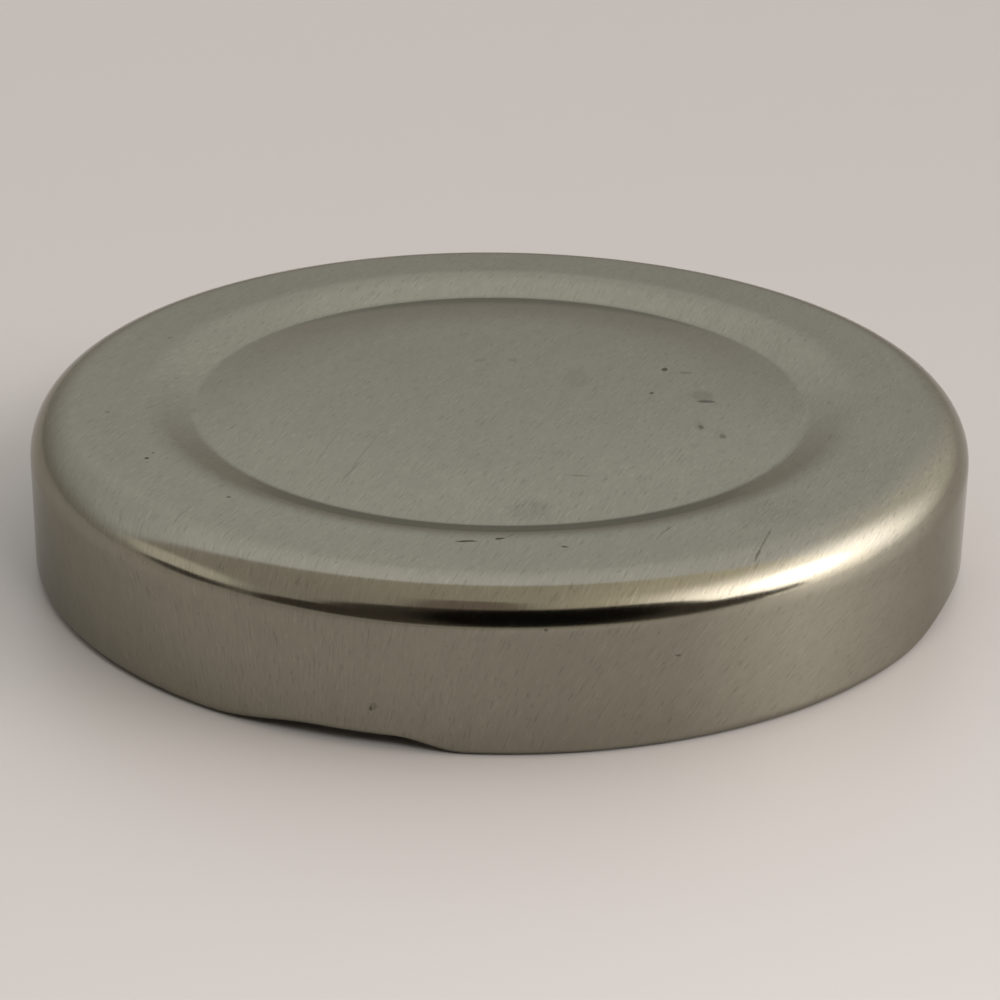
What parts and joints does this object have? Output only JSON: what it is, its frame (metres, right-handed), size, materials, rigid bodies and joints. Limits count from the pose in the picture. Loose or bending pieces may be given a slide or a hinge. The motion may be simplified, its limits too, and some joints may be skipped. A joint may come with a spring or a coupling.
{
  "type": "bottle cap",
  "caption": "Round twist-off metal cap with a stepped top panel, rounded shoulder, plain skirt, rolled rim with flattened lugs, and a sealing ring inside.",
  "frame": {"origin": "centre of the cap's bounding box in X and Y, on the plane of the rim's foot", "axes": "+Z is the cap's axis of revolution, up through the panel; -Y is the front, and the first lug stands 15.5 degrees left of it"},
  "size_m": [0.0556, 0.0556, 0.0098],
  "materials": {
    "tinplate": "clear-lacquered tinplate with a fine linear grain",
    "sealing_compound": "matt, soft sealing compound"
  },
  "bodies": {
    "root": {"cap_shell": "tinplate", "sealing_ring": "sealing_compound"}
  },
  "joints": []
}
